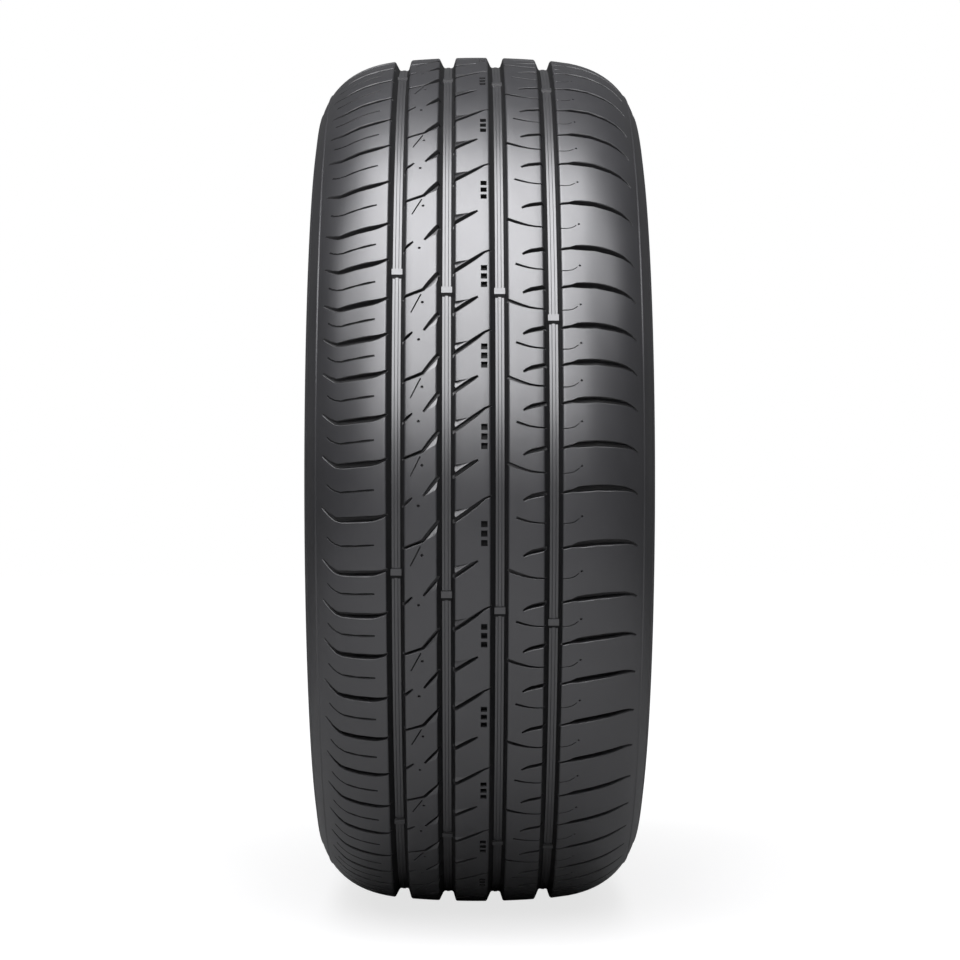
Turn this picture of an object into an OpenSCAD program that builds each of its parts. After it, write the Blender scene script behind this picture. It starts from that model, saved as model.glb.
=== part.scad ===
/* [Overall size] */
// Outer diameter over the tread
outer_d = 748; // [735:1:765]
// Width of the section at its widest ring
section_w = 276; // [270:1:284]
// Diameter of the wheel's bead seat beside its flange
seat_d = 487.4; // [482:0.2:492]
// How far the wheel's flange lies inside the widest ring
wheel_inset = 30; // [27:0.5:34]
// Height of the widest ring above the bead seat
widest_h = 53; // [48:1:60]

/* [Crown and walls] */
// Radius of the flat arc across the tread
crown_r = 735; // [600:5:1000]
// Width of each rounded shoulder, from the flat crown to the widest ring
shoulder_w = 75; // [70:1:80]
// Roundness of the shoulder, where 2 is an ellipse
shoulder_power = 2.6; // [2.2:0.1:3]
// Thickness of rubber and plies under the middle rib
tread_t = 18; // [15:0.5:22]
// Thickness of the sidewall at the widest ring
side_t = 9; // [7:0.5:12]

/* [Beads] */
// Width of each bead along the seat
bead_w = 19; // [17:0.5:22]
// Width of the straight land at the toe of each bead
land_w = 9; // [6:0.5:10]
// Taper of the seat behind the heel, in degrees
seat_taper = 5; // [3:0.5:7]
// Radius of the heel
heel_r = 6; // [4:0.5:7]
// Height of the wheel's flange, which the guard clears
flange_h = 17.5; // [15:0.5:20]
// How far the guard stands out past the flange line
guard_out = 13; // [10:0.5:15]

/* [Raised rings] */
// How far the ridge round each edge of the tread lies inside the widest ring
ridge_inset = 10.5; // [9:0.5:12]
// How far the upper ring on each sidewall lies inside the widest ring
upper_ring_inset = 3; // [2.5:0.5:5]
// Height of the lower ring of each sidewall above the bead seat
lower_ring_h = 38; // [34:1:42]
// Height that the rings stand out of the surface
ring_h = 0.7; // [0.4:0.1:1]

/* [Long grooves] */
// Place of the outer left groove, as a share of the section's half width
groove_1_at = -0.471; // [-0.49:0.001:-0.45]
// Place of the inner left groove, as a share of the section's half width
groove_2_at = -0.1906; // [-0.21:0.0001:-0.17]
// Place of the inner right groove, as a share of the section's half width
groove_3_at = 0.1065; // [0.09:0.0001:0.13]
// Place of the outer right groove, as a share of the section's half width
groove_4_at = 0.4072; // [0.39:0.0001:0.43]
// Width of a long groove between the tops of its walls
groove_w = 13.6; // [12:0.2:15]
// Width of a long groove at its floor
groove_floor_w = 7.8; // [6:0.2:9]
// Shift of the floor towards the steeper wall
groove_lean = 0.5; // [0:0.1:1]
// Depth of the long grooves
groove_depth = 8.5; // [6:0.5:9]
// Chamfer along the rib edges
edge_chamfer = 0.7; // [0.4:0.1:1]

/* [Wear bars] */
// Height of a wear bar above the groove floor
wear_h = 1.6; // [1:0.1:2.5]
// Length of a wear bar round the tyre
wear_len = 6.5; // [5:0.5:12]

/* [Cross cuts] */
// How far the pattern ends inside the widest ring
pattern_inset = 16; // [13:0.5:20]
// Width of the shoulder grooves
shoulder_cut_w = 4.4; // [3.5:0.1:6]
// Depth of the shoulder grooves
shoulder_cut_depth = 6.5; // [5:0.5:7.5]
// Width of the cuts in the three middle ribs
rib_cut_w = 3; // [2:0.1:4]
// Depth of the cuts in the three middle ribs
rib_cut_depth = 6; // [4:0.5:7]
// Width of a sipe
sipe_w = 1; // [0.8:0.1:1.4]
// Depth of a sipe
sipe_depth = 4; // [3:0.5:6]
// Width across the tread of a ladder pocket
pocket_w = 4.7; // [3:0.1:6]
// Length round the tyre of a ladder pocket
pocket_len = 4.4; // [3:0.1:6]
// Spacing of the ladder pockets
pocket_step = 7.6; // [6.5:0.1:9]
// Depth of a ladder pocket
pocket_depth = 2.5; // [1.5:0.5:4]

/* [Hidden] */
$fn = 180;

// Five lengths of pattern pitch, as degrees before they are scaled to fill the ring
pitch_size = [4.65, 5.3, 5.9, 6.6, 6.9];
// Order of the pitch lengths round the ring, where each entry stands for two equal pitches
pitch_order = [2, 4, 1, 0, 1, 3, 1, 2, 2, 2, 1, 2, 3, 2, 1, 0, 0, 1, 2, 2, 3, 1, 0, 1, 2, 3, 2, 1, 0, 0, 2, 3];
pairs = len(pitch_order);
// Angle of the first left shoulder groove above the level of the axle
first_angle = 57.9;
// Turn of each rib's pattern from that of the left shoulder
rib_2_turn = -8.15;
rib_3_turn = -5.95;
rib_4_turn = -3.75;
right_turn = -2.92;
// Angles of the wear bars in the first groove, and how far the other grooves' bars lag behind them
wear_angles = [26.3, -11.3, -49.7, -88, -126, -164, 158, 114, 70];
wear_lag = [0, 2.7, 4.7, 6.3];
// In the first set the third groove's bar lies close behind the second's
first_lag = [0, 2.7, 2.9, 6.3];

outer_r = outer_d / 2;
half_w = section_w / 2;
seat_r = seat_d / 2;
widest_r = seat_r + widest_h;
wheel_half = half_w - wheel_inset;
crown_half = half_w - shoulder_w;
pattern_half = half_w - pattern_inset;
toe_y = wheel_half - bead_w;
land_y = toe_y + land_w;
land_r = seat_r - (wheel_half - heel_r - land_y) * tan(seat_taper);
toe_bevel = 1.2;
guard_r = seat_r + flange_h + 1.5;
guard_t = 4;
guard_y = wheel_half + guard_out;
floor_bevel = 1;
over = 3;

// Fall of the crown's arc, and of the rounded shoulder, below the middle of the tread
function arc_fall(y) = crown_r - sqrt(crown_r * crown_r - y * y);
function curve_fall(u, h, p) = h * (1 - pow(1 - pow(min(max(u, 0), 1), p), 1 / p));
shoulder_h = outer_r - arc_fall(half_w) - widest_r;
function tread_r(y) = outer_r - arc_fall(y)
    - curve_fall((abs(y) - crown_half) / (half_w - crown_half), shoulder_h, shoulder_power);

// The inner wall follows the same kind of curve, with the most rubber at the shoulder
cavity_half = half_w - side_t;
cavity_flat = crown_half - 3;
cavity_power = 2.3;
cavity_h = outer_r - tread_t - arc_fall(cavity_half) - widest_r;
function cavity_r(y) = outer_r - tread_t - arc_fall(y)
    - curve_fall((y - cavity_flat) / (cavity_half - cavity_flat), cavity_h, cavity_power);

// Places along a curve that ends upright at the widest ring, closer together near that end
curve_steps = 10;
function eased(flat, end, p) = [for (i = [1 : curve_steps])
    flat + (end - flat) * pow(sin(90 * i / curve_steps), 2 / p)];

// The lower sidewall leaves the widest ring upright and sweeps in towards the bead
sweep_steps = 6;
sweep_power = 1.8;
function sweep(to_r, from_y, to_y) = [for (i = [1 : sweep_steps]) let (u = i / sweep_steps)
    [widest_r + (to_r - widest_r) * u, from_y + (to_y - from_y) * pow(u, sweep_power)]];

// Radius and place across where the sweep ends at the guard, and the place across at a radius on the way
sweep_end = [guard_r + guard_t + 2, guard_y - 2];
function sweep_y(r) = half_w
    + (sweep_end[1] - half_w) * pow((widest_r - r) / (widest_r - sweep_end[0]), sweep_power);

// One side of the section as radius and place across, down the shoulder to the toe and back up the inside
outside = concat(
    [for (y = eased(crown_half, half_w, shoulder_power)) [tread_r(y), y]],
    sweep(sweep_end[0], half_w, sweep_end[1]),
    [[guard_r + guard_t, guard_y], [guard_r, guard_y], [guard_r - 3, wheel_half + heel_r]],
    [for (a = [0 : 15 : 90]) [seat_r + heel_r * (1 - sin(a)), wheel_half - heel_r * (1 - cos(a))]],
    [[land_r, land_y], [land_r, toe_y + toe_bevel], [land_r + toe_bevel, toe_y]]
);
inside_ys = concat([cavity_flat / 2, cavity_flat], eased(cavity_flat, cavity_half, cavity_power));
inside = concat(
    [for (y = inside_ys) [cavity_r(y), y]],
    sweep(seat_r + flange_h, cavity_half, toe_y + 1)
);
right_side = concat(outside, reversed(inside));
function reversed(points) = [for (i = [len(points) - 1 : -1 : 0]) points[i]];
function mirrored(points) = [for (p = reversed(points)) [p[0], -p[1]]];
grooves = half_w * [groove_1_at, groove_2_at, groove_3_at, groove_4_at];
crown_ys = [grooves[0], grooves[1], 0, grooves[2], grooves[3]];
section = concat([for (y = crown_ys) [tread_r(y), y]], right_side, [[cavity_r(0), 0]], mirrored(right_side));

// A long groove's own section, from the chamfered edge down the leaning walls to the floor
function floor_r(y) = tread_r(y) - groove_depth;
function groove_section(y) = let (
    left = y - groove_w / 2, right = y + groove_w / 2,
    floor_left = y + groove_lean - groove_floor_w / 2, floor_right = y + groove_lean + groove_floor_w / 2,
    top = outer_r + over + edge_chamfer
) [
    [outer_r + over, left - top + tread_r(left)], [tread_r(left) - edge_chamfer, left],
    [floor_r(y) + floor_bevel, floor_left - floor_bevel / 2], [floor_r(y), floor_left + floor_bevel / 2],
    [floor_r(y), floor_right - floor_bevel / 2], [floor_r(y) + floor_bevel, floor_right + floor_bevel / 2],
    [tread_r(right) - edge_chamfer, right], [outer_r + over, right + top - tread_r(right)]
];
groove_half = groove_w / 2 + edge_chamfer;
rib_2 = [grooves[0] + groove_half, grooves[1] - groove_half];
rib_3 = [grooves[1] + groove_half, grooves[2] - groove_half];
rib_4 = [grooves[2] + groove_half, grooves[3] - groove_half];
left_shoulder = [grooves[0] - groove_half, -pattern_half];
right_shoulder = [grooves[3] + groove_half, pattern_half];

// Angle of pitch i, and the length of that pitch in degrees
function sizes_before(n) = n == 0 ? 0 : sizes_before(n - 1) + pitch_size[pitch_order[n - 1]];
pitch_scale = 180 / sizes_before(pairs);
function pitch_len(i) = pitch_size[pitch_order[floor(i / 2)]] * pitch_scale;
function pitch_angle(i) = first_angle - 2 * pitch_scale * sizes_before(floor(i / 2)) - (i % 2) * pitch_len(i);

// A cut seen from above: a ribbon along points of place across the rib, height round the tyre and width
function across(rib, u) = rib[0] + (rib[1] - rib[0]) * u;
function laid(rib, path) = [for (p = path) [across(rib, p[0]), p[1], p[2]]];
function heading(path, i) = let (
    a = path[max(i - 1, 0)], b = path[min(i + 1, len(path) - 1)], d = [b[0] - a[0], b[1] - a[1]]
) d / norm(d);
function side_point(path, i, s) = let (t = heading(path, i), w = s * path[i][2] / 2)
    [path[i][0] - t[1] * w, path[i][1] + t[0] * w];
function ribbon(path) = concat(
    [for (i = [0 : len(path) - 1]) side_point(path, i, 1)],
    [for (i = [len(path) - 1 : -1 : 0]) side_point(path, i, -1)]
);

// Stands its children, drawn looking at the tread, on the radius low_r and raises them out of the tread
module stamp(low_r) translate([low_r, 0, 0]) rotate([90, 0, 90])
    linear_extrude(outer_r + over - low_r) children();
module rib_cut(rib, depth, path) stamp(tread_r(across(rib, 0.5)) - depth) polygon(ribbon(laid(rib, path)));

// A shoulder cut's floor follows the fall of the shoulder
module shoulder_cut(rib, path, depths) intersection() {
    stamp(tread_r(pattern_half) - shoulder_cut_depth - over) polygon(ribbon(laid(rib, path)));
    linear_extrude(8 * shoulder_cut_w, center = true) polygon(concat(
        [for (d = depths) let (y = across(rib, d[0])) [tread_r(y) - d[1], y]],
        [for (i = [len(depths) - 1, 0]) [outer_r + over, across(rib, depths[i][0])]]
    ));
}
module at_angle(a) rotate([0, -a, 0]) children();

// Left shoulder: a wide groove with a thin neck and a hooked end
module left_groove() shoulder_cut(left_shoulder,
    [[-0.06, 3.6, sipe_w * 1.8], [0.13, 0.6, sipe_w * 2.4], [0.21, -0.2, shoulder_cut_w],
     [0.76, -2.3, shoulder_cut_w], [0.87, 1, sipe_w * 2.2], [1, 7, sipe_w]],
    [[-0.08, 3], [0.13, 3.5], [0.22, shoulder_cut_depth], [0.6, shoulder_cut_depth], [1.02, 0.8]]);

// Rib 2: a dog-leg groove by turns with two short notches
module rib_2_even() rib_cut(rib_2, rib_cut_depth,
    [[-0.05, -12.6, rib_cut_w * 0.7], [0.57, -6.8, rib_cut_w * 0.85], [1.07, 7.6, rib_cut_w]]);
module rib_2_odd() {
    rib_cut(rib_2, rib_cut_depth, [[-0.05, -14.2, rib_cut_w * 0.7], [0.21, -8.2, rib_cut_w * 0.5]]);
    rib_cut(rib_2, rib_cut_depth, [[0.6, -6.8, rib_cut_w * 0.5], [1.07, 7.6, rib_cut_w]]);
}

// Rib 3: a long diagonal cut over a ladder of three pockets, by turns with a shorter cut
pocket_at = 0.845;
pocket_top = -2.3;
module rib_3_even() {
    rib_cut(rib_3, rib_cut_depth,
        [[-0.07, -6, rib_cut_w * 1.1], [0.61, 6.6, rib_cut_w], [1.07, 14, rib_cut_w * 0.4]]);
    for (n = [0 : 2]) stamp(tread_r(rib_3[1]) - pocket_depth)
        translate([across(rib_3, pocket_at), pocket_top - pocket_step * n])
            square([pocket_w, pocket_len], center = true);
}
module rib_3_odd() rib_cut(rib_3, rib_cut_depth,
    [[-0.07, -6, rib_cut_w * 1.1], [0.64, 6.4, rib_cut_w * 0.6]]);

// Rib 4: a thick cut with a hooked tail, and between the cuts a curved sipe that is long by turns
module rib_4_cut() rib_cut(rib_4, rib_cut_depth,
    [[1.06, 1.5, rib_cut_w], [0.6, -1.2, rib_cut_w * 0.8], [0.41, -4.2, rib_cut_w * 0.4]]);
module rib_4_sipe(reach, w) rib_cut(rib_4, sipe_depth,
    [[1.05, -0.2, w], [0.7, 0.4, w], [reach, 4.4, w]]);

// Right shoulder: the left one's groove turned half round
module right_groove() shoulder_cut(right_shoulder,
    [[-0.05, -4, sipe_w * 1.8], [0.14, -1.8, sipe_w * 2], [0.19, -1.2, shoulder_cut_w],
     [0.5, 0, shoulder_cut_w], [0.84, -1.3, shoulder_cut_w], [1, -6.6, sipe_w]],
    [[-0.07, 3], [0.15, 3.5], [0.21, shoulder_cut_depth], [0.8, shoulder_cut_depth], [1.02, 1]]);

module left_cuts() for (i = [0 : 2 * pairs - 1]) at_angle(pitch_angle(i)) left_groove();
module rib_2_cuts() for (i = [0 : 2 * pairs - 1]) at_angle(pitch_angle(i) + rib_2_turn)
    if (i % 2 == 0) rib_2_even(); else rib_2_odd();
module rib_3_cuts() for (i = [0 : 2 * pairs - 1]) at_angle(pitch_angle(i) + rib_3_turn)
    if (i % 2 == 0) rib_3_even(); else rib_3_odd();
module rib_4_cuts() for (i = [0 : 2 * pairs - 1]) at_angle(pitch_angle(i) + rib_4_turn) {
    rib_4_cut();
    at_angle(-pitch_len(i) / 2) if (i % 2 == 0) rib_4_sipe(0.2, sipe_w); else rib_4_sipe(-0.05, sipe_w * 1.3);
}
module right_cuts() for (i = [0 : 2 * pairs - 1]) at_angle(pitch_angle(i) + right_turn) right_groove();

// Half of each ring's round section stands out of the wall
ridge_y = half_w - ridge_inset;
upper_ring_y = half_w - upper_ring_inset;
lower_ring_r = seat_r + lower_ring_h;
ring_spots = [
    [tread_r(ridge_y), ridge_y], [tread_r(upper_ring_y), upper_ring_y], [lower_ring_r, sweep_y(lower_ring_r)]
];
module rings() for (side = [-1, 1], spot = ring_spots)
    translate([spot[0], side * spot[1]]) circle(ring_h, $fn = 12);
module casing() rotate([-90, 0, 0]) rotate_extrude() union() {
    difference() {
        polygon(section);
        for (y = grooves) polygon(groove_section(y));
    }
    rings();
}
function lag(a, g) = a == wear_angles[0] ? first_lag[g] : wear_lag[g];
// Each bar is rooted in the floor and both walls of its groove
module wear_bars() for (g = [0 : len(grooves) - 1], a = wear_angles)
    at_angle(a - lag(a, g)) rotate([-90, 0, 0]) rotate([0, 0, -wear_len / outer_r * 90 / PI])
        rotate_extrude(angle = wear_len / outer_r * 180 / PI)
            translate([floor_r(grooves[g]) - over, grooves[g] + groove_lean - groove_floor_w / 2 - 1])
                square([over + wear_h, groove_floor_w + 2]);

module tyre() color("#2b2c2f") difference() {
    union() {
        casing();
        wear_bars();
    }
    left_cuts();
    rib_2_cuts();
    rib_3_cuts();
    rib_4_cuts();
    right_cuts();
}

tyre();
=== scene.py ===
"""Dresses the car tyre: one rubber moulding with its whole tread cut in, on a pale floor under soft light."""

import math

import bpy
import numpy as np
from mathutils import Matrix, Vector


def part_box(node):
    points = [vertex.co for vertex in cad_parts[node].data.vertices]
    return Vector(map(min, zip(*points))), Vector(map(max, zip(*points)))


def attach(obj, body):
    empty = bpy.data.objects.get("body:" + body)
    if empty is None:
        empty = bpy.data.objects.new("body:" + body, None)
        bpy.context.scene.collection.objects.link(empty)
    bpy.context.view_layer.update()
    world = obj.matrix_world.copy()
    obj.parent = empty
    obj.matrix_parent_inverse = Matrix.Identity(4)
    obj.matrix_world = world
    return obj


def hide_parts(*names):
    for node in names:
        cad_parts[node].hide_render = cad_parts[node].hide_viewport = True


MM = 0.001

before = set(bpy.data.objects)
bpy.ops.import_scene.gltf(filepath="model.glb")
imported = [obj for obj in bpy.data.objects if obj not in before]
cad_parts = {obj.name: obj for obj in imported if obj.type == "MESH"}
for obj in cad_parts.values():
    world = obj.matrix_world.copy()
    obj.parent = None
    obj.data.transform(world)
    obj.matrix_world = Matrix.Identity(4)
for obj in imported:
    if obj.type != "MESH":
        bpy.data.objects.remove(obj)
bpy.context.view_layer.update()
low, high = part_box("tyre")

# Sizes of the section, in millimetres, as the part's source has them
OUTER_R = (high[2] - low[2]) / 2 / MM
HALF_W = (high[1] - low[1]) / 2 / MM
SEAT_R = 243.7
WHEEL_HALF = 108
WIDEST_R = SEAT_R + 53
CROWN_R = 735
CROWN_HALF = 63
SHOULDER_POWER = 2.6
SHOULDER_DROP = OUTER_R - (CROWN_R - math.sqrt(CROWN_R**2 - HALF_W**2)) - WIDEST_R
TREAD_T = 18
CAVITY_HALF = HALF_W - 9
CAVITY_FLAT = 60
CAVITY_POWER = 2.3
GUARD_R = SEAT_R + 19
GUARD_Y = WHEEL_HALF + 13
HEEL_R = 6
LAND_R = 243.35
LAND_Y = 98
TOE_Y = 89
TOE_BEVEL = 1.2
SHOULDER_FROM = 76
SWEEP_POWER = 1.8

# Raised rings on each side: places across, and the width and height of each ring
RIDGES = [127.5, 135]
LOWER_RING_Y = 133.5
LOWER_RING_R = SEAT_R + 38
RING_W = 3.4
RING_H = 0.6

# The four long grooves: place across the tread and wall shape
GROOVES = [-65, -26.3, 14.7, 56.2]
GROOVE_W = 13.6
FLOOR_W = 7.8
FLOOR_LEAN = 0.5
GROOVE_DEPTH = 8.5
# Round of a rib's edge, as (distance beside the groove, depth)
EDGE_ROUND = [(1.45, 0), (0.85, 0.18), (0.35, 0.56), (0, 1.06)]

# Pitches of the pattern round the ring and the turn of each rib's pattern, in degrees
PITCH_SIZE = [4.65, 5.3, 5.9, 6.6, 6.9]
PITCH_ORDER = [2, 4, 1, 0, 1, 3, 1, 2, 2, 2, 1, 2, 3, 2, 1, 0]
PITCH_ORDER += [0, 1, 2, 2, 3, 1, 0, 1, 2, 3, 2, 1, 0, 0, 2, 3]
FIRST_ANGLE = 57.9
RIB_2_TURN = -8.15
RIB_3_TURN = -5.95
RIB_4_TURN = -3.75
RIGHT_TURN = -2.92
WEAR_ANGLES = [26.3, -11.3, -49.7, -88, -126, -164, 158, 114, 70]
WEAR_LAG = [0, 2.7, 4.7, 6.3]
FIRST_LAG = [0, 2.7, 2.9, 6.3]
WEAR_LEN = 6.5
WEAR_H = 1.6

ROUND_STEPS = 256
# Material slots. The groove walls get a near-black rubber that is painted shade, and the groove floors a
# paler rubber that is painted highlight. Inside a cut, dark has the groove walls' rubber, painted shade, and
# pale the groove floors' rubber, painted highlight
CASING, CUT, WALL, FLOOR, PAINTED_SHADE, PAINTED_HIGHLIGHT = 0, 1, 2, 3, 4, 5


# The section of the casing, as points of (place across, radius)


def arc_fall(y):
    return CROWN_R - math.sqrt(CROWN_R**2 - y**2)


def curve_fall(u, height, power):
    u = min(max(u, 0), 1)
    return height * (1 - (1 - u**power) ** (1 / power))


def tread_r(y):
    """Radius of the uncut tread and shoulder at a place across the tyre."""
    u = (abs(y) - CROWN_HALF) / (HALF_W - CROWN_HALF)
    return OUTER_R - arc_fall(y) - curve_fall(u, SHOULDER_DROP, SHOULDER_POWER)


def cavity_r(y):
    """Radius of the inner wall under the tread and shoulder."""
    height = OUTER_R - TREAD_T - arc_fall(CAVITY_HALF) - WIDEST_R
    u = (y - CAVITY_FLAT) / (CAVITY_HALF - CAVITY_FLAT)
    return OUTER_R - TREAD_T - arc_fall(y) - curve_fall(u, height, CAVITY_POWER)


def eased(flat, end, power, steps):
    """Places along a curve that ends upright, closer together near that end."""
    turns = [math.pi / 2 * i / steps for i in range(1, steps + 1)]
    return [flat + (end - flat) * math.sin(turn) ** (2 / power) for turn in turns]


def raised_rings(line, rings):
    """Adds thin raised rings at (place across, radius) to an open line of points."""
    points = np.array(line)
    along = np.concatenate([[0], np.cumsum(np.linalg.norm(np.diff(points, axis=0), axis=1))])
    steps = np.arange(0, along[-1], 0.1)
    walk = np.stack([np.interp(steps, along, points[:, k]) for k in (0, 1)], axis=1)
    extra = []
    for across, radius in rings:
        place = steps[np.argmin(np.linalg.norm(walk - (across, radius), axis=1))]
        for offset, rise in ((-0.5, 0), (-0.2, RING_H), (0.2, RING_H), (0.5, 0)):
            at = place + offset * RING_W
            here = np.array([np.interp(at, along, points[:, k]) for k in (0, 1)])
            ahead = np.array([np.interp(at + 1, along, points[:, k]) for k in (0, 1)])
            back = np.array([np.interp(at - 1, along, points[:, k]) for k in (0, 1)])
            step = (ahead - back) / np.linalg.norm(ahead - back)
            extra.append((at, here + rise * np.array([-step[1], step[0]])))
        clear = np.abs(along - place) > RING_W * 0.5 + 0.4
        points, along = points[clear], along[clear]
    both = sorted([(a, tuple(p)) for a, p in zip(along, points)] + [(a, tuple(p)) for a, p in extra])
    return [p for _, p in both]


def groove_line(y):
    """One long groove: rounded edge, leaning wall, ribbed floor, wall, rounded edge."""
    left, right = y - GROOVE_W / 2, y + GROOVE_W / 2
    floor_left, floor_right = y + FLOOR_LEAN - FLOOR_W / 2, y + FLOOR_LEAN + FLOOR_W / 2
    floor = tread_r(y) - GROOVE_DEPTH
    ribs = ((0.3, 0), (0.36, 0.35), (0.64, 0.35), (0.7, 0))
    ribbing = [(floor_left + FLOOR_W * u, floor + rise) for u, rise in ribs]
    return (
        [(left - beside, tread_r(left - beside) - depth) for beside, depth in EDGE_ROUND]
        + [(floor_left - 0.5, floor + 1.2), (floor_left + 0.6, floor)]
        + ribbing
        + [(floor_right - 0.6, floor), (floor_right + 0.5, floor + 1.2)]
        + [(right + beside, tread_r(right + beside) - depth) for beside, depth in EDGE_ROUND[::-1]]
    )


def crown_line():
    """The tread from the left end of the flat crown to the right, with its four grooves."""
    half = GROOVE_W / 2 + EDGE_ROUND[0][0]
    edges = [y + side * half for y in GROOVES for side in (-1, 1)]
    edges = [edges[0] - 2] + edges + [edges[-1] + 2]
    line = []
    for i in range(0, len(edges), 2):
        places = np.linspace(edges[i], edges[i + 1], 5)[1:-1]
        line += [(y, tread_r(y)) for y in places]
        if i // 2 < len(GROOVES):
            line += groove_line(GROOVES[i // 2])
    return line


def side_line():
    """Shoulder and sidewall of the right side, from the crown to the guard over the wheel's flange."""
    shoulder = [(y, tread_r(y)) for y in eased(CROWN_HALF, HALF_W, SHOULDER_POWER, 22) if y > SHOULDER_FROM]
    end_r, end_y, steps = GUARD_R + 6, GUARD_Y - 2, 12
    sweep = [
        (HALF_W + (end_y - HALF_W) * (i / steps) ** SWEEP_POWER, WIDEST_R + (end_r - WIDEST_R) * i / steps)
        for i in range(1, steps + 1)
    ]
    return shoulder + sweep


def bead_line():
    """Guard, heel, seat and toe of the right bead."""
    guard = [(GUARD_Y - 0.6, GUARD_R + 4.6), (GUARD_Y, GUARD_R + 3.6), (GUARD_Y, GUARD_R + 0.6)]
    guard += [(GUARD_Y - 0.8, GUARD_R), (WHEEL_HALF + HEEL_R + 1.5, GUARD_R - 3)]
    guard += [(WHEEL_HALF + 2, GUARD_R - 7)]
    turns = [math.radians(a) for a in range(0, 91, 15)]
    heel = [(WHEEL_HALF - HEEL_R * (1 - math.cos(a)), SEAT_R + HEEL_R * (1 - math.sin(a))) for a in turns]
    return guard + heel + [(LAND_Y, LAND_R), (TOE_Y + TOE_BEVEL, LAND_R), (TOE_Y, LAND_R + TOE_BEVEL)]


def inner_line():
    """The inner wall of the right side, from the toe up to the middle of the tread."""
    steps = 6
    top = [0, CAVITY_FLAT / 2, CAVITY_FLAT] + eased(CAVITY_FLAT, CAVITY_HALF, CAVITY_POWER, 8)
    line = [(y, cavity_r(y)) for y in top]
    end_r, end_y = SEAT_R + 17.5, TOE_Y + 1
    line += [
        (CAVITY_HALF + (end_y - CAVITY_HALF) * share**SWEEP_POWER, WIDEST_R + (end_r - WIDEST_R) * share)
        for share in [i / steps for i in range(1, steps + 1)]
    ]
    return line[::-1]


def mirrored(line):
    return [(-y, r) for y, r in line[::-1]]


def casing_section():
    """The closed section, clockwise from the left shoulder over the crown."""
    rings = [(y, tread_r(y)) for y in RIDGES] + [(LOWER_RING_Y, LOWER_RING_R)]
    side = raised_rings(side_line(), rings)
    inner = inner_line()
    right = side + bead_line() + inner
    return mirrored(side) + crown_line() + right + mirrored(inner)[1:] + mirrored(bead_line())


def side_slot(a, b):
    """The material slot between two points of the section: a long groove's wall or floor, or plain."""
    depths = [tread_r(y) - r for y, r in (a, b)]
    if min(depths) < EDGE_ROUND[-1][1] - 0.1 or max(depths) > GROOVE_DEPTH + 3:
        return CASING
    return WALL if abs(a[1] - b[1]) > 1 else FLOOR


# Meshes


def new_object(name, vertices, faces, slots):
    """A mesh object from points in millimetres, with a material slot for each face."""
    mesh = bpy.data.meshes.new(name)
    mesh.from_pydata((np.array(vertices) * MM).tolist(), [], faces)
    mesh.polygons.foreach_set("material_index", slots)
    mesh.update()
    obj = bpy.data.objects.new(name, mesh)
    bpy.context.scene.collection.objects.link(obj)
    return obj


def revolved(section):
    """Vertices and faces of the section turned round the axle, and the material slots of the faces."""
    turns = [2 * math.pi * k / ROUND_STEPS for k in range(ROUND_STEPS)]
    vertices = [(r * math.cos(a), y, r * math.sin(a)) for a in turns for y, r in section]
    count = len(section)
    faces = []
    for k in range(ROUND_STEPS):
        here, ahead = k * count, (k + 1) % ROUND_STEPS * count
        for j in range(count):
            after = (j + 1) % count
            faces.append((here + j, here + after, ahead + after, ahead + j))
    slots = [side_slot(section[j], section[(j + 1) % count]) for j in range(count)]
    return vertices, faces, slots * ROUND_STEPS


def on_tread(s, h, up, angle):
    """Point at a place across the tread, a height round it from an angle, and a rise above its surface."""
    r = tread_r(s) + up
    a = math.radians(angle) + h / OUTER_R
    return (r * math.cos(a), s, r * math.sin(a))


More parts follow.
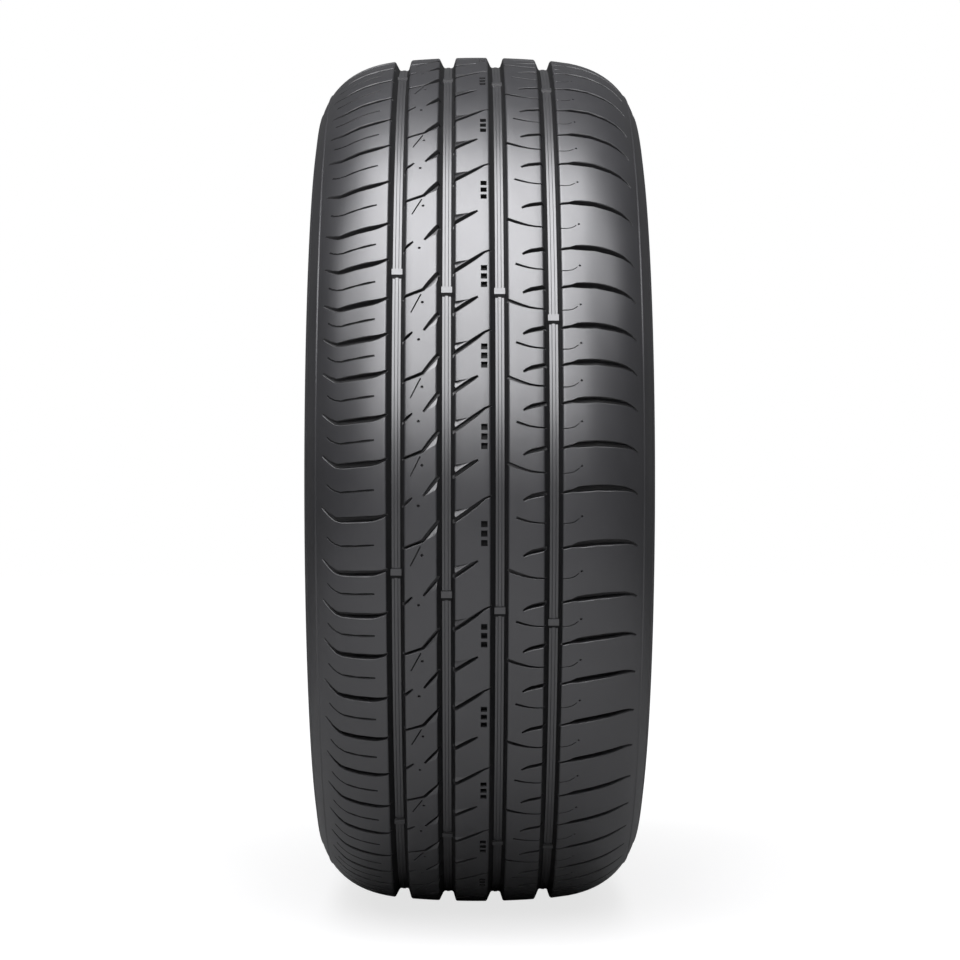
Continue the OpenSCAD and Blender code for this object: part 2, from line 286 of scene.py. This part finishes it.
class Cutters:
    """Solids that are taken out of the tread together. Those of one set don't touch each other."""

    over = 1.2

    def __init__(self, slot):
        self.slot_index = slot
        self.vertices = []
        self.faces = []
        self.slots = []

    def add(self, vertices, faces, slots=None):
        """Adds one closed solid, with its faces turned outward."""
        points = np.array(vertices)
        corners = np.array([(f[0], f[k], f[k + 1]) for f in faces for k in range(1, len(f) - 1)])
        if np.linalg.det(points[corners] - points.mean(axis=0)).sum() < 0:
            faces = [face[::-1] for face in faces]
        start = len(self.vertices)
        self.vertices += vertices
        self.faces += [tuple(start + i for i in face) for face in faces]
        self.slots += slots or [self.slot_index] * len(faces)

    def slot(self, angle, path, chamfer=0.35, rounding=0.0):
        """A slot along a path of (place across, height round, width, depth), with chamfered lips."""
        vertices = []
        for i, (s, h, width, depth) in enumerate(path):
            before, after = path[max(i - 1, 0)], path[min(i + 1, len(path) - 1)]
            run = Vector((after[0] - before[0], after[1] - before[1])).normalized()
            half, lip = width / 2, width / 2 + chamfer + self.over
            wall = half - 0.04 * depth
            profile = [(-lip, self.over), (-half, -chamfer)]
            if rounding:
                profile += [(-wall, rounding - depth), (rounding * 0.7 - wall, -depth)]
                profile += [(wall - rounding * 0.7, -depth), (wall, rounding - depth)]
            else:
                profile += [(-wall, -depth), (wall, -depth)]
            profile += [(half, -chamfer), (lip, self.over)]
            vertices += [on_tread(s - run.y * x, h + run.x * x, up, angle) for x, up in profile]
        count = len(profile)
        faces = [tuple(range(count)), tuple(range(len(vertices) - 1, len(vertices) - count - 1, -1))]
        for i in range(len(path) - 1):
            a, b = i * count, (i + 1) * count
            faces += [(a + (j + 1) % count, a + j, b + j, b + (j + 1) % count) for j in range(count)]
        self.add(vertices, faces)

    def hole(self, angle, s, h, radius, depth):
        """A small round hole."""
        turns = [2 * math.pi * k / 8 for k in range(8)]
        rims = [(self.over, radius + 0.2 + self.over / 2), (-0.2, radius), (-depth, radius * 0.8)]
        vertices = [
            on_tread(s + rim * math.cos(a), h + rim * math.sin(a), up, angle)
            for up, rim in rims
            for a in turns
        ]
        faces = [tuple(range(8)), tuple(range(23, 15, -1))]
        for row in (0, 8):
            faces += [(row + (k + 1) % 8, row + k, row + 8 + k, row + 8 + (k + 1) % 8) for k in range(8)]
        self.add(vertices, faces)

    def pocket(self, angle, s, h, width, length, depth):
        """A rectangular pocket with sloping sides."""
        rims = [(self.over, 0.2 + self.over / 2), (-0.2, 0), (-depth, -0.3)]
        corners = [(-1, -1), (1, -1), (1, 1), (-1, 1)]
        vertices = [
            on_tread(s + a * (width / 2 + grow), h + b * (length / 2 + grow), up, angle)
            for up, grow in rims
            for a, b in corners
        ]
        faces = [(0, 1, 2, 3), (11, 10, 9, 8)]
        for row in (0, 4):
            faces += [(row + (k + 1) % 4, row + k, row + 4 + k, row + 4 + (k + 1) % 4) for k in range(4)]
        self.add(vertices, faces)

    def facet(self, angle, corners, depth):
        """A sloping facet over three corners: level at the first two and depth deep at the last."""
        ups = [0.03, 0.03, -depth]
        vertices = [on_tread(s, h, up, angle) for (s, h), up in zip(corners, ups)]
        vertices += [on_tread(s, h, self.over * 2, angle) for s, h in corners]
        self.add(vertices, [(2, 1, 0), (3, 4, 5), (0, 1, 4, 3), (1, 2, 5, 4), (2, 0, 3, 5)])

    def bar(self, angle, left, right, length, rise):
        """A wear bar across a groove floor with a long ramp below it and a short one above."""
        middle = (left + right) / 2
        floor = -GROOVE_DEPTH
        end = length / 2
        outline = [(-end - 3.4, -0.8), (-end + 0.8, rise), (end - 0.4, rise), (end + 0.6, -0.8)]
        vertices = []
        for s in (left, right):
            for h, up in outline:
                r = tread_r(middle) + floor + up
                a = math.radians(angle) + h / OUTER_R
                vertices.append((r * math.cos(a), s, r * math.sin(a)))
        faces = [(3, 2, 1, 0), (4, 5, 6, 7)] + [(k, (k + 1) % 4, 4 + (k + 1) % 4, 4 + k) for k in range(4)]
        # The lower ramp, ends, upper ramp and underside take the near-black wall rubber, a painted shadow
        # below the pad; the top takes the paler floor rubber, a painted highlight
        self.add(vertices, faces, [PAINTED_SHADE, PAINTED_SHADE, PAINTED_SHADE, PAINTED_HIGHLIGHT, PAINTED_SHADE, PAINTED_SHADE])

    def made(self, name):
        return new_object(name, self.vertices, self.faces, self.slots)


# The pattern


def pitches():
    """The angle and length of each of the 64 pitches, clockwise from the first."""
    scale = 180 / sum(PITCH_SIZE[k] for k in PITCH_ORDER)
    angle, found = FIRST_ANGLE, []
    for k in PITCH_ORDER:
        for _ in range(2):
            found.append((angle, PITCH_SIZE[k] * scale))
            angle -= PITCH_SIZE[k] * scale
    return found


wide, fine = Cutters(CUT), Cutters(CUT)
# Pockets and faint sipes take the near-black wall rubber, painted shade in their hollows. Facets and the wear
# bars' tops take the paler floor rubber, painted highlight
pockets, faint = Cutters(PAINTED_SHADE), Cutters(PAINTED_SHADE)
facets, bars = Cutters(PAINTED_HIGHLIGHT), Cutters(PAINTED_HIGHLIGHT)
for i, (angle, length) in enumerate(pitches()):
    even = i % 2 == 0

    # Left shoulder: a wide groove with a thin neck and a hooked end, and a faint sipe between two grooves
    path = [(-70, 3.8, 1.8, 3), (-74.5, 1.8, 2.4, 3.5), (-79, 0.5, 3.6, 5.5), (-83, -0.2, 4.4, 6.5),
            (-96, -1.3, 4.4, 6.5), (-107, -2.1, 4.2, 5), (-111, -1.6, 3.2, 4), (-116, 1.8, 2, 2.5)]
    path += [(-121.5, 7, 1, 0.9)]
    wide.slot(angle, path, rounding=0.9)
    path = [(-81, 0.6, 0.9, 0.8), (-96, -0.9, 1, 0.8), (-107, -1.8, 1, 0.8), (-111.5, -0.6, 0.8, 0.5)]
    path += [(-115, 1.5, 0.8, 0.5), (-118, 4.5, 0.7, 0.4)]
    faint.slot(angle - length / 2, path, chamfer=0.35)

    # Rib 2: a dog-leg groove with a steep sipe below it, by turns with two short notches
    at = angle + RIB_2_TURN
    if even:
        path = [(-60, -13.2, 2.1, 6), (-51, -9.6, 2.2, 6), (-43.9, -6.8, 2.5, 6), (-38.5, 0.2, 2.9, 6)]
        wide.slot(at, path + [(-31.5, 8.7, 3, 6)], rounding=0.6)
        fine.slot(at, [(-45.6, -10.8, 0.9, 3), (-49.3, -18.2, 0.9, 3), (-53.3, -26.3, 0.8, 2)], chamfer=0.15)
        fine.hole(at, -44.5, -17.7, 1.1, 2.5)
    else:
        wide.slot(at, [(-60, -15.4, 2.3, 6), (-55.4, -11.2, 2, 6), (-52, -8, 1, 4)], rounding=0.3)
        wide.slot(at, [(-43.3, -6.8, 1.4, 5), (-38.6, -0.8, 2.6, 6), (-31.5, 8.2, 3, 6)], rounding=0.3)
        fine.hole(at, -47.2, -14.2, 1.1, 2.5)
    facets.facet(at, [(-42.5, -7), (-33, -1.5), (-31.5, 8)], 3)

    # Rib 3: a long diagonal cut over a ladder of three pockets, by turns with a shorter cut
    at = angle + RIB_3_TURN
    if even:
        path = [(-21.5, -6.6, 3.2, 6), (-12, 0, 3.2, 6), (-3, 6.6, 2.8, 6)]
        path += [(3.5, 11.6, 1.5, 4), (9, 14, 1.2, 3)]
        wide.slot(at, path, rounding=0.4)
        # The ladder starts lower on a longer pitch
        top = -0.2 - 0.6 * (math.radians(length) * OUTER_R - 30.3)
        for n in range(3):
            pockets.pocket(at, 3.1, top - 7.3 * n, 4.7, 4.6, 4)
    else:
        path = [(-21.5, -6.6, 3.2, 6), (-12, 0, 3.2, 6), (-6, 4, 2.8, 5.5), (-1.6, 6.7, 1.2, 3.5)]
        wide.slot(at, path, rounding=0.4)
    facets.facet(at, [(-8, 4.6), (-19.5, -3.8), (-19.5, 2.8)], 2.4)

    # Rib 4: a thick cut with a hooked tail, and between the cuts a curved sipe that is long by turns
    at = angle + RIB_4_TURN
    path = [(51, 1.6, 3.4, 6), (44, 0, 3.3, 6), (40, -0.8, 3.2, 6)]
    path += [(35.8, -2.5, 2.2, 4.5), (33, -4.2, 1.3, 3)]
    wide.slot(at, path, rounding=0.4)
    bend = [(51, -0.3), (44, 0), (38.3, 0.8), (33.3, 2.2), (27.5, 4.2)]
    widths = [1.1, 1.2, 1.4, 1.7, 1.9] if even else [1.2, 1.4, 1.7, 2.2, 2.7]
    path = [(s, h, w, 3.5) for (s, h), w in zip(bend, widths)]
    fine.slot(at - length / 2, path if even else path + [(21, 6.9, 2.8, 3.5)], chamfer=0.15)

    # Right shoulder: the left one's groove turned half round, and a short sipe with a hole at its end
    at = angle + RIGHT_TURN
    path = [(60.5, -4.4, 1.6, 3), (70.5, -2.2, 2.2, 3.5), (75, -1.2, 4.4, 6.5), (90, 0, 4.6, 6.5),
            (104, -0.4, 4.4, 6.5), (112, -1.2, 3.6, 5), (118, -3.2, 2, 2.5), (121.5, -6, 1, 0.9)]
    wide.slot(at, path, rounding=0.9)
    path = [(60.5, -6.4, 0.7, 2), (68, -5.9, 0.7, 2), (72, -4.8, 0.7, 2), (75.5, -2.2, 0.7, 1.5)]
    fine.slot(at - length / 2, path, chamfer=0.15)
    fine.hole(at - length / 2, 77.6, -0.5, 0.9, 2)

for angle in WEAR_ANGLES:
    for place, lag in zip(GROOVES, FIRST_LAG if angle == WEAR_ANGLES[0] else WEAR_LAG):
        left, right = (place + FLOOR_LEAN + side * (FLOOR_W / 2 + 0.3) for side in (-1, 1))
        bars.bar(angle - lag, left, right, WEAR_LEN, WEAR_H)


# The moulding: the casing with its wear bars, less the cuts


def smooth_normals(mesh, section):
    """Gives the casing's faces the normals of the turned section, so that cuts leave no shading marks."""
    points = np.array(section)
    ahead = np.roll(points, -1, axis=0)
    run = ahead - points
    length = np.linalg.norm(run, axis=1)
    flat = np.stack([-run[:, 1], run[:, 0]], axis=1) / length[:, None]
    # A corner of the section is smooth where its two sides turn by less than 24 degrees
    joined = (flat * np.roll(flat, 1, axis=0)).sum(axis=1) > math.cos(math.radians(24))
    shared = flat + np.roll(flat, 1, axis=0)
    shared /= np.linalg.norm(shared, axis=1)[:, None]
    at_start = np.where(joined[:, None], shared, flat)
    at_end = np.where(np.roll(joined, -1)[:, None], np.roll(shared, -1, axis=0), flat)

    mesh.polygons.foreach_set("use_smooth", [True] * len(mesh.polygons))
    mesh.set_sharp_from_angle(angle=math.radians(28))
    normals = np.empty(len(mesh.loops) * 3, dtype=np.float32)
    mesh.corner_normals.foreach_get("vector", normals)
    normals = normals.reshape(-1, 3)
    vertices = np.empty(len(mesh.vertices) * 3, dtype=np.float32)
    mesh.vertices.foreach_get("co", vertices)
    vertices = vertices.reshape(-1, 3) / MM
    corner = np.empty(len(mesh.loops), dtype=np.int32)
    mesh.loops.foreach_get("vertex_index", corner)
    count = len(mesh.polygons)
    slots, sizes = np.empty(count, dtype=np.int32), np.empty(count, dtype=np.int32)
    mesh.polygons.foreach_get("material_index", slots)
    mesh.polygons.foreach_get("loop_total", sizes)
    centres, faces = np.empty(count * 3, dtype=np.float32), np.empty(count * 3, dtype=np.float32)
    mesh.polygons.foreach_get("center", centres)
    mesh.polygons.foreach_get("normal", faces)
    centres, faces = centres.reshape(-1, 3) / MM, faces.reshape(-1, 3)

    owner = np.full(len(sizes), -1)
    casing = np.flatnonzero((slots == CASING) | (slots == WALL) | (slots == FLOOR))
    for part in np.array_split(casing, max(1, len(casing) // 20000)):
        middle, normal = centres[part], faces[part]
        radius = np.hypot(middle[:, 0], middle[:, 2])
        place = np.stack([middle[:, 1], radius], axis=1)
        outward = (normal[:, 0] * middle[:, 0] + normal[:, 2] * middle[:, 2]) / radius
        out = np.stack([normal[:, 1], outward], axis=1)
        offset = place[:, None, :] - points[None]
        share = np.clip((offset * run[None]).sum(axis=2) / length[None] ** 2, 0, 1)
        gap = np.linalg.norm(offset - share[..., None] * run[None], axis=2)
        owner[part] = np.argmin(gap + 3 * (1 - out @ flat.T), axis=1)

    owners = np.repeat(owner, sizes)
    on_casing = owners >= 0
    found = owners[on_casing]
    spot = vertices[corner[on_casing]]
    radius = np.hypot(spot[:, 0], spot[:, 2])
    place = np.stack([spot[:, 1], radius], axis=1)
    share = np.clip(((place - points[found]) * run[found]).sum(axis=1) / length[found] ** 2, 0, 1)[:, None]
    blend = at_start[found] * (1 - share) + at_end[found] * share
    blend /= np.linalg.norm(blend, axis=1)[:, None]
    normals[on_casing] = np.stack(
        [blend[:, 1] * spot[:, 0] / radius, blend[:, 0], blend[:, 1] * spot[:, 2] / radius], axis=1
    )
    mesh.normals_split_custom_set(normals.tolist())


def combine(obj, other, operation):
    modifier = obj.modifiers.new(other.name, "BOOLEAN")
    modifier.operation = operation
    modifier.solver = "MANIFOLD"
    modifier.object = other


section = casing_section()
tyre = new_object("moulded_tyre", *revolved(section))


# Materials


def node_graph(material):
    material.use_nodes = True
    tree = material.node_tree
    return tree.nodes, tree.links, tree.nodes["Principled BSDF"]


def add_noise(nodes, links, coordinates, scale, detail, roughness=0.5):
    noise = nodes.new("ShaderNodeTexNoise")
    noise.inputs["Scale"].default_value = scale
    noise.inputs["Detail"].default_value = detail
    noise.inputs["Roughness"].default_value = roughness
    links.new(coordinates, noise.inputs["Vector"])
    return noise.outputs["Fac"]


def ramped(nodes, links, value, start, end):
    """Maps 0..1 onto a range of numbers."""
    reach = nodes.new("ShaderNodeMapRange")
    reach.inputs["To Min"].default_value = start
    reach.inputs["To Max"].default_value = end
    links.new(value, reach.inputs["Value"])
    return reach.outputs["Result"]


def rubber_material(name, dark, pale, rough_low, rough_high, grain, sheen):
    """Matte moulded rubber: a cloudy grey with fine grain and a slightly uneven gloss."""
    material = bpy.data.materials.new(name)
    nodes, links, shader = node_graph(material)
    place = nodes.new("ShaderNodeTexCoord").outputs["Object"]

    clouds = add_noise(nodes, links, place, 18, 4)
    tint = nodes.new("ShaderNodeMix")
    tint.data_type = "RGBA"
    tint.inputs["A"].default_value = dark
    tint.inputs["B"].default_value = pale
    links.new(ramped(nodes, links, clouds, -0.5, 1.5), tint.inputs["Factor"])
    links.new(tint.outputs["Result"], shader.inputs["Base Color"])

    smears = add_noise(nodes, links, place, 60, 3)
    links.new(ramped(nodes, links, smears, rough_low, rough_high), shader.inputs["Roughness"])

    bump = nodes.new("ShaderNodeBump")
    bump.inputs["Strength"].default_value = grain
    bump.inputs["Distance"].default_value = 0.0002
    links.new(add_noise(nodes, links, place, 1400, 2, 0.6), bump.inputs["Height"])
    links.new(bump.outputs["Normal"], shader.inputs["Normal"])
    shader.inputs["IOR"].default_value = 1.7
    shader.inputs["Specular IOR Level"].default_value = sheen
    return material


outer = rubber_material("tyre rubber", (0.012, 0.012, 0.0145, 1), (0.02, 0.02, 0.023, 1), 0.35, 0.42, 0.3, 1)
cut = rubber_material(
    "tyre cut faces", (0.012, 0.012, 0.013, 1), (0.02, 0.02, 0.021, 1), 0.45, 0.55, 0.2, 0.7
)
# Groove walls: near-black rubber, painted shade where the walls lie in shadow
wall = rubber_material(
    "tyre groove walls painted shade", (0.005, 0.005, 0.0055, 1), (0.009, 0.009, 0.0095, 1), 0.5, 0.6, 0.2, 0.25
)
# Groove floors: smoother rubber, and paler than the ribs as a painted highlight
floor = rubber_material(
    "tyre groove floors painted highlight", (0.022, 0.022, 0.024, 1), (0.032, 0.032, 0.034, 1), 0.33, 0.4, 0.2, 1
)
slots = [outer, cut, wall, floor, wall, floor]
for material in slots:
    tyre.data.materials.append(material)

tools = [(bars.made("wear_bars"), "UNION")]
cuts = {"wide_cuts": wide, "fine_cuts": fine, "pockets": pockets, "faint": faint, "facets": facets}
tools += [(cutters.made(name), "DIFFERENCE") for name, cutters in cuts.items()]
for tool, operation in tools:
    for material in slots:
        tool.data.materials.append(material)
    combine(tyre, tool, operation)
shaped = bpy.data.meshes.new_from_object(tyre.evaluated_get(bpy.context.evaluated_depsgraph_get()))
tyre.modifiers.clear()
tyre.data = shaped
smooth_normals(shaped, section)
for tool, _ in tools:
    bpy.data.objects.remove(tool)

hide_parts("tyre")
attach(tyre, "root")


# Floor, light and camera


def add_floor():
    """A pale floor that the camera sees as white away from the tyre, with the tyre's shadow kept."""
    half = 8
    floor_z = low[2]
    corners = [(-half, -half, floor_z), (half, -half, floor_z), (half, half, floor_z), (-half, half, floor_z)]
    mesh = bpy.data.meshes.new("floor")
    mesh.from_pydata(corners, [], [(0, 1, 2, 3)])
    floor = bpy.data.objects.new("floor", mesh)
    bpy.context.scene.collection.objects.link(floor)
    material = bpy.data.materials.new("pale floor")
    nodes, links, shader = node_graph(material)
    shader.inputs["Base Color"].default_value = (0.3, 0.3, 0.3, 1)
    shader.inputs["Roughness"].default_value = 0.9
    shader.inputs["Emission Color"].default_value = (1, 1, 1, 1)
    away = nodes.new("ShaderNodeVectorMath")
    away.operation = "LENGTH"
    links.new(nodes.new("ShaderNodeTexCoord").outputs["Object"], away.inputs[0])
    glow = nodes.new("ShaderNodeMapRange")
    for name, value in (("From Min", 0.3), ("From Max", 1.1), ("To Min", 0.72), ("To Max", 1)):
        glow.inputs[name].default_value = value
    links.new(away.outputs["Value"], glow.inputs["Value"])
    seen = nodes.new("ShaderNodeMath")
    seen.operation = "MULTIPLY"
    links.new(nodes.new("ShaderNodeLightPath").outputs["Is Camera Ray"], seen.inputs[0])
    links.new(glow.outputs["Result"], seen.inputs[1])
    links.new(seen.outputs["Value"], shader.inputs["Emission Strength"])
    mesh.materials.append(material)


def add_world(strength, mirrored_strength):
    """A soft light from all round, seen as white. Glossy rays get part of it, so black stays black."""
    world = bpy.data.worlds.new("studio")
    bpy.context.scene.world = world
    world.use_nodes = True
    nodes, links = world.node_tree.nodes, world.node_tree.links
    light = nodes["Background"]
    light.inputs["Color"].default_value = (1, 1, 1, 1)
    path = nodes.new("ShaderNodeLightPath")
    glossy = ramped(nodes, links, path.outputs["Is Glossy Ray"], strength, mirrored_strength)
    level = glossy
    for ray in ("Is Transmission Ray", "Is Camera Ray"):
        white = nodes.new("ShaderNodeMath")
        white.operation = "MAXIMUM"
        links.new(level, white.inputs[0])
        links.new(path.outputs[ray], white.inputs[1])
        level = white.outputs["Value"]
    links.new(level, light.inputs["Strength"])


def add_softbox(name, place, target, width, height, power):
    """A rectangular lamp that faces a point."""
    lamp = bpy.data.lights.new(name, "AREA")
    lamp.shape = "RECTANGLE"
    lamp.size = width
    lamp.size_y = height
    lamp.energy = power
    lamp.color = (0.97, 0.97, 1)
    obj = bpy.data.objects.new(name, lamp)
    obj.location = place
    obj.rotation_euler = (Vector(target) - Vector(place)).to_track_quat("-Z", "Y").to_euler()
    obj.visible_camera = False
    bpy.context.scene.collection.objects.link(obj)


def add_camera():
    """Straight on to the tread at the height of the axle, as the photograph is."""
    distance, turn = 2.446, 0.0055
    data = bpy.data.cameras.new("camera")
    data.lens = 102.2
    data.shift_x = 2.4 / 960
    data.shift_y = -0.6 / 960
    data.clip_end = 50
    camera = bpy.data.objects.new("camera", data)
    back = Vector((math.cos(turn), -math.sin(turn), 0))
    across = Vector((math.sin(turn), math.cos(turn), 0))
    turned = Matrix((across, (0, 0, 1), back)).transposed().to_4x4()
    camera.matrix_world = Matrix.Translation(back * distance) @ turned
    bpy.context.scene.collection.objects.link(camera)
    bpy.context.scene.camera = camera


add_floor()
add_world(0.08, 0.12)
add_softbox("overhead", (0.68, -0.08, 1.6), (0.27, 0, 0.22), 1.5, 1.2, 30)
add_softbox("front", (1.6, -0.08, 1.02), (0.35, 0, 0.1), 1.5, 1.2, 24)
add_softbox("left side", (0.8, -1.3, 1.45), (0.3, -0.08, 0.15), 0.8, 0.9, 6.5)
add_softbox("right side", (0.8, 1.15, 1.45), (0.3, 0.08, 0.15), 0.8, 0.9, 4.5)
add_camera()
bpy.context.scene.view_settings.view_transform = "Standard"
